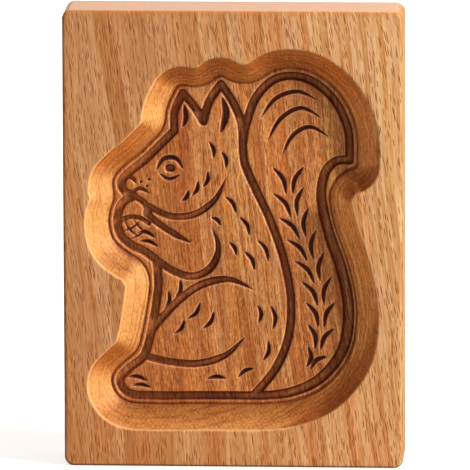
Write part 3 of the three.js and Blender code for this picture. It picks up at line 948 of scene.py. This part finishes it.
def ray_dashes(nodes, log, per_mm):
    """Short thin dashes where the wood's rays end in the face, and the pale wood beside them."""
    place = nodes.place((log.slanted, log.z), per_mm)
    cells = nodes.add("TexVoronoi", {"Vector": place, "Scale": 1.0}, voronoi_dimensions="2D").outputs
    chance = nodes.add("SeparateColor", {0: cells["Color"]}).outputs[0]
    strength = nodes.between(chance, *DASH_SHOWN)
    dash = nodes.product(nodes.between(cells["Distance"], *DASH_EDGE), strength)
    beside = nodes.product(nodes.between(cells["Distance"], *BESIDE_EDGE), strength)
    return dash, beside


def with_dashes(nodes, log, marks, colour):
    """Ray dashes, mostly on the face and the back. Also returns how much of a place is dash."""
    long_dash, beside_long = ray_dashes(nodes, log, LONG_DASHES)
    short_dash, beside_short = ray_dashes(nodes, log, SHORT_DASHES)
    flatness = nodes.between(nodes.math("ABSOLUTE", marks.normal_y), *FACING_FRONT)
    shown = nodes.math("MULTIPLY_ADD", flatness, 1 - DASH_ON_SIDES, DASH_ON_SIDES)
    beside = nodes.product(nodes.math("MAXIMUM", beside_long, beside_short), shown)
    dash = nodes.product(nodes.math("MAXIMUM", long_dash, short_dash), shown)
    colour = nodes.tint(colour, DASH_BESIDE, beside)
    return nodes.tint(colour, DASH_BROWN, dash), dash


def with_floor(nodes, log, marks, colour):
    """The floor is darker as painted shade and a darker cut; its long streaks show faintly elsewhere."""
    # The recess's floor: painted shade, with a darker cut
    colour = nodes.tint(colour, CUT_FLOOR_AND_SHADE, marks.is_floor)
    streaks = nodes.noise((log.way_round, log.radius, log.z), STREAK_GRAIN, roughness=FIBRE_ROUGHNESS)
    share = nodes.math("MULTIPLY_ADD", marks.is_floor, STREAK_SHARE_MORE, STREAK_SHARE)
    return nodes.tint_by(streaks, colour, STREAK_GOLD, STREAK_BROWN, limit=share)


def with_wall(nodes, marks, colour):
    """The recess's wall, paler where freshly cut, with painted light and shade by where it faces."""
    colour = nodes.mix(nodes.product(marks.is_wall, CUT_WALL_SHARE), colour, CUT_WALL)
    # Painted light and shade by where the wall faces, with darker end grain at the top and bottom
    colour = nodes.tint(colour, SHADED_RIGHT_WALL_TINT, marks.at_right)
    colour = nodes.tint(colour, LIT_LEFT_WALL_TINT, marks.at_left)
    colour = nodes.tint(colour, TOP_WALL_SHADE_AND_END_GRAIN, marks.at_top)
    near_rim = nodes.between(marks.across, BOTTOM_RIM_START, RIM)
    below_rim = nodes.math("MULTIPLY_ADD", near_rim, BOTTOM_RIM_LOSS, 1.0)
    colour = nodes.tint(colour, BOTTOM_WALL_SHADE_AND_END_GRAIN, nodes.product(marks.at_bottom, below_rim))
    # Painted shadow on walls that face up and left, deepest in the lower right corner
    leftward = nodes.product(marks.normal_x, -1.0)
    up_and_left = nodes.math("MULTIPLY_ADD", marks.normal_z, CORNER_UPWARD, leftward)
    colour = nodes.tint_by(up_and_left, colour, CORNER_PAINTED_SHADOW, limit=marks.is_wall)
    # Painted shade at the foot of the wall that faces up
    return nodes.tint_by(marks.across, colour, WALL_FOOT_SHADE, limit=marks.at_bottom)


def with_wall_bands(nodes, log, marks, colour):
    """The log's layers, the cutter's passes and its steps, as dark bands along the wall."""
    grain = (log.radius, log.upright, log.z)
    layers = nodes.noise(grain, LAYER_GRAIN, FIBRE_DETAIL, LAYER_ROUGHNESS)
    passes = nodes.noise((marks.across, log.x, log.z), PASS_GRAIN)
    in_shade = nodes.math("MAXIMUM", marks.at_right, marks.at_top)
    least = nodes.math("MAXIMUM", in_shade, PASS_LEAST)
    passes = nodes.product(nodes.between(passes, *PASS_EDGE), least)
    waver = nodes.product(layers, STEP_WAVER)
    turns = nodes.math("MULTIPLY_ADD", marks.across, 2 * math.pi / STEP_HEIGHT, waver)
    step = nodes.between(nodes.math("SINE", turns), *STEP_EDGE)
    steps = nodes.product(step, in_shade, STEP_SHARE)
    bands = nodes.math("MAXIMUM", nodes.between(layers, *LAYER_EDGE), passes)
    bands = nodes.math("MAXIMUM", bands, steps)
    low_down = nodes.between(marks.across, RIM, BANDS_FULL_AT)
    share = nodes.math("MULTIPLY_ADD", low_down, BAND_SHARE_MORE, BAND_SHARE)
    return nodes.tint(colour, BAND_DARK, nodes.product(bands, share, marks.is_wall))


def with_hatching(nodes, log, marks, colour):
    """The cutter's crossed hatching where the wall faces up."""
    rising = nodes.product(nodes.math("ADD", log.x, log.z), math.pi / HATCH_STEP)
    falling = nodes.product(nodes.math("SUBTRACT", log.x, log.z), math.pi / HATCH_STEP)
    crossed = nodes.product(nodes.math("SINE", rising), nodes.math("SINE", falling))
    lines = nodes.between(nodes.math("ABSOLUTE", crossed), *HATCH_EDGE)
    patches = nodes.between(nodes.noise((log.x, log.y, log.z), PATCH_GRAIN), *PATCH_EDGE)
    return nodes.tint(colour, BAND_DARK, nodes.product(lines, marks.at_bottom, patches, HATCH_SHARE))


def with_painted_highlights(nodes, marks, colour):
    """Painted highlights: a pale line round the rim where the light meets it, and the grooves' lips."""
    start = nodes.between(marks.across, *RIM_LINE_START)
    end = nodes.between(marks.across, *RIM_LINE_END)
    towards_light = nodes.math("MULTIPLY_ADD", marks.normal_z, RIM_UPWARD, marks.normal_x)
    rim = nodes.product(start, end, nodes.between(towards_light, *RIM_LIT), RIM_SHARE)
    # Painted highlight along the rim where it faces the light
    colour = nodes.mix(rim, colour, RIM_HIGHLIGHT)
    # Painted highlights on the grooves' lips
    outer = nodes.between(marks.gap, *LIP_OUTER)
    inner = nodes.between(marks.gap, *LIP_INNER)
    return nodes.mix(nodes.product(outer, inner, LIP_SHARE), colour, LIP_HIGHLIGHT)


def with_grooves(nodes, log, marks, colour):
    """Grooves and nicks in burn and painted shade, the foot's notch in painted shade, a darker bottom.
    """
    # Painted light: the grooves at the left are drawn less dark
    least = nodes.slope(log.x, *GROOVE_LIT_AT_LEFT)
    limit = nodes.math("MAXIMUM", least, nodes.between(marks.burn_and_shade, *POINTED_BURN_AND_SHADE))
    burnt_and_shaded = nodes.product(nodes.between(marks.burn_and_shade, *BURN_AND_SHADE_EDGE), limit)
    # Painted light in a wide groove's middle
    in_middle = nodes.between(marks.gap, *WIDE_MIDDLE)
    off_middle = nodes.math("MULTIPLY_ADD", in_middle, WIDE_MIDDLE_LOSS, 1.0)
    # Burn and painted shade in the grooves
    colour = nodes.tint(colour, GROOVE_BURN_AND_SHADE, nodes.product(burnt_and_shaded, off_middle))
    # Painted shade on the grooves' sides
    colour = nodes.tint_by(marks.gap, colour, GROOVE_SIDE_SHADE, limit=burnt_and_shaded)
    # Darker along the recess's lower edge
    inside_ledge = nodes.between(marks.across, *INSIDE_LEDGE_EDGE)
    colour = nodes.tint_by(log.z, colour, LOW_EDGE_DARKER, limit=inside_ledge)
    # Burn and painted shade in the nicks
    colour = nodes.tint_by(marks.burn_and_shade, colour, NICK_BURN_AND_SHADE)
    # Painted shade in the notch at the wall's foot
    from_foot = nodes.math("ABSOLUTE", nodes.math("SUBTRACT", marks.across, LEDGE))
    return nodes.tint_by(from_foot, colour, NOTCH_SHADE)


def with_mottling(nodes, log, marks, colour):
    mottle = nodes.noise((log.x, log.y, log.z), MOTTLE_GRAIN)
    is_cut = nodes.between(marks.across, *CUT_EDGE)
    return nodes.tint_by(mottle, colour, MOTTLE_DARK, MOTTLE_LIGHT, limit=is_cut)


def with_sides(nodes, log, marks, colour):
    """The block's sides in painted shade, its ends in painted light, and its edges."""
    sideways = nodes.math("ABSOLUTE", marks.normal_x)
    # Painted shade on the block's left and right sides
    colour = nodes.tint_by(sideways, colour, SIDE_PAINTED_SHADE, limit=marks.outside)
    # Painted light on the block's ends
    facing_end = nodes.between(nodes.math("ABSOLUTE", marks.normal_z), *END_FACING)
    colour = nodes.mix(nodes.product(facing_end, marks.outside, END_SHARE), colour, END_PAINTED_LIGHT)
    colour = nodes.mix(oiled_edge(nodes, log), colour, OILED_END)
    # Painted shadow on the edges that look down
    return nodes.tint_by(marks.normal_z, colour, UNDER_EDGE_SHADOW, limit=marks.outside)


def oiled_edge(nodes, log):
    """The oil's dark edge under the block's upper end, which runs down between the fibres."""
    runs = nodes.noise((log.way_round,), OIL_GRAIN, roughness=OIL_ROUGHNESS)
    reach = nodes.math("MULTIPLY_ADD", runs, OIL_RUNS, log.z)
    below_end = nodes.between(log.z, *OIL_BELOW_END)
    return nodes.product(nodes.between(reach, *OIL_REACH), below_end, OIL_SHARE)


def surface_bump(nodes, log, marks, dash):
    """Raised fibres, sunk ray dashes and the cutter's fine marks along the wall."""
    wave = nodes.math("SINE", nodes.product(marks.across, 2 * math.pi / TOOL_MARK_STEP))
    tool_marks = nodes.product(wave, marks.is_wall, TOOL_MARK_RELIEF)
    raised = nodes.math("ADD", nodes.product(log.fibres, FIBRE_RELIEF), tool_marks)
    height = nodes.math("SUBTRACT", raised, nodes.product(dash, DASH_RELIEF))
    values = {"Strength": BUMP_STRENGTH, "Distance": BUMP_HEIGHT, "Height": height}
    return nodes.add("Bump", values).outputs[0]


def beech(name):
    """Oiled beech, with painted light and shade: browned groove bottoms and darker cut hollows."""
    material, nodes = new_material(name)
    log = Log(nodes)
    marks = Marks(nodes)
    colour = board_colour(nodes, log)
    colour = with_rings(nodes, log, colour)
    colour = nodes.tint_by(log.fibres, colour, FIBRE_DARK, FIBRE_LIGHT)
    colour, dash = with_dashes(nodes, log, marks, colour)
    colour = with_floor(nodes, log, marks, colour)
    colour = with_wall(nodes, marks, colour)
    colour = with_wall_bands(nodes, log, marks, colour)
    colour = with_hatching(nodes, log, marks, colour)
    colour = with_painted_highlights(nodes, marks, colour)
    colour = with_grooves(nodes, log, marks, colour)
    colour = with_mottling(nodes, log, marks, colour)
    colour = with_sides(nodes, log, marks, colour)
    shader = nodes.add("BsdfPrincipled", {
        "Base Color": colour,
        "Roughness": nodes.slope(log.fibres, *ROUGHNESS),
        "Normal": surface_bump(nodes, log, marks, dash),
        "Specular IOR Level": SPECULAR_LEVEL,
    })
    nodes.add("OutputMaterial", {"Surface": shader.outputs[0]})
    return material


def make_camera(box):
    """The photograph's view: a long lens, a little to the right of the mould and above it."""
    low, high = (Vector(corner) for corner in box)
    azimuth = math.radians(CAMERA_AZIMUTH)
    elevation = math.radians(CAMERA_ELEVATION)
    level = Vector((math.sin(azimuth), -math.cos(azimuth), 0))
    towards = level * math.cos(elevation) + Vector((0, 0, math.sin(elevation)))
    roll = Matrix.Rotation(math.radians(-CAMERA_ROLL), 3, "Z")
    turn = towards.to_track_quat("Z", "Y").to_matrix() @ roll
    aim = (low + high) / 2 + turn @ Vector((AIM_RIGHT, -AIM_DOWN, 0))
    data = bpy.data.cameras.new("camera")
    data.lens = CAMERA_LENS
    data.sensor_width = SENSOR_WIDTH
    data.clip_end = CAMERA_CLIP_END
    camera = add_object("camera", data)
    camera.matrix_world = Matrix.Translation(aim + towards * CAMERA_DISTANCE) @ turn.to_4x4()
    bpy.context.scene.camera = camera


# The studio, in metres: white to the eye, with soft warm fill for the block
WHITE = (1, 1, 1, 1)
FILL_COLOUR = (1, 0.93, 0.85, 1)
FILL_STRENGTH = 0.25
FLOOR_REACH = 6.0
FLOOR_COLOUR = (0.8, 0.8, 0.8, 1)
FLOOR_BOUNCE = (0.45, 0.45, 0.45, 1)
FLOOR_GLOW = (0.3, 1.6), (0.54, 1.0)
LAMP_AIM = (0, 0, 0.075)


def white_to_camera(nodes, seen, unseen):
    """One shader for rays that show it in the picture, another for rays that light by it."""
    path = nodes.add("LightPath").outputs
    mirrored = nodes.math("MAXIMUM", path["Is Glossy Ray"], path["Is Transmission Ray"])
    shown = nodes.math("MAXIMUM", path["Is Camera Ray"], mirrored)
    return nodes.add("MixShader", {0: shown, 1: unseen, 2: seen}).outputs[0]


def make_world():
    """Soft fill from all round, seen as plain white."""
    world = bpy.data.worlds.new("studio")
    world.use_nodes = True
    nodes = Nodes(world.node_tree)
    white = nodes.add("Background", {"Color": WHITE, "Strength": 1.0}).outputs[0]
    fill = nodes.add("Background", {"Color": FILL_COLOUR, "Strength": FILL_STRENGTH}).outputs[0]
    nodes.add("OutputWorld", {"Surface": white_to_camera(nodes, white, fill)})
    bpy.context.scene.world = world


def make_floor():
    """A wide floor that the block stands on, white in the picture but for the shadow."""
    mesh = bpy.data.meshes.new("floor")
    corners = [(x * FLOOR_REACH, y * FLOOR_REACH, 0) for x, y in ((-1, -1), (1, -1), (1, 1), (-1, 1))]
    mesh.from_pydata(corners, [], [(0, 1, 2, 3)])
    mesh.materials.append(floor_white())
    add_object("floor", mesh)


def floor_white():
    """Matt white that glows more away from the block."""
    material, nodes = new_material("floor_white")
    place = nodes.add("TexCoord").outputs["Object"]
    away = nodes.add("VectorMath", {0: place}, operation="LENGTH").outputs["Value"]
    glowing = nodes.slope(away, *FLOOR_GLOW)
    matt = nodes.add("BsdfDiffuse", {"Color": FLOOR_COLOUR}).outputs[0]
    glow = nodes.add("Emission", {"Color": WHITE, "Strength": glowing}).outputs[0]
    lit = nodes.add("AddShader", {0: matt, 1: glow}).outputs[0]
    bounce = nodes.add("BsdfDiffuse", {"Color": FLOOR_BOUNCE}).outputs[0]
    nodes.add("OutputMaterial", {"Surface": white_to_camera(nodes, lit, bounce)})
    return material


def make_lamp(name, place, size, power, colour):
    """A square area lamp that points at the middle of the mould."""
    data = bpy.data.lights.new(name, "AREA")
    data.size = size
    data.energy = power
    data.color = colour
    lamp = add_object(name, data)
    lamp.location = place
    towards = Vector(place) - Vector(LAMP_AIM)
    lamp.rotation_euler = towards.to_track_quat("Z", "Y").to_euler()


def make_lights():
    """The key comes from the upper right and in front, as the photograph's shadows show."""
    make_lamp("key", place=(1.25, -0.52, 0.7), size=0.45, power=31.6, colour=(1, 0.98, 0.94))
    make_lamp("behind", place=(-0.7, 0.75, 1.0), size=0.8, power=8.8, colour=(1, 0.95, 0.9))


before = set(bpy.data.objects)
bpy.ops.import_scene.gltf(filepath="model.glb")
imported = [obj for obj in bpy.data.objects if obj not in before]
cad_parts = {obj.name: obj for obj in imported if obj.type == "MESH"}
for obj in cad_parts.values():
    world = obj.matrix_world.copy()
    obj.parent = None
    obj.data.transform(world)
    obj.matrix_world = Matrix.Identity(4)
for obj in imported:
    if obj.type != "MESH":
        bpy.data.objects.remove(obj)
bpy.context.scene.view_settings.view_transform = "Standard"
cad_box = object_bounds()
make_camera(cad_box)
board = carved_board(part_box(NODE))
board.data.materials.append(beech("oiled_beech"))
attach(board, "root")
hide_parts(NODE)
make_world()
make_floor()
make_lights()
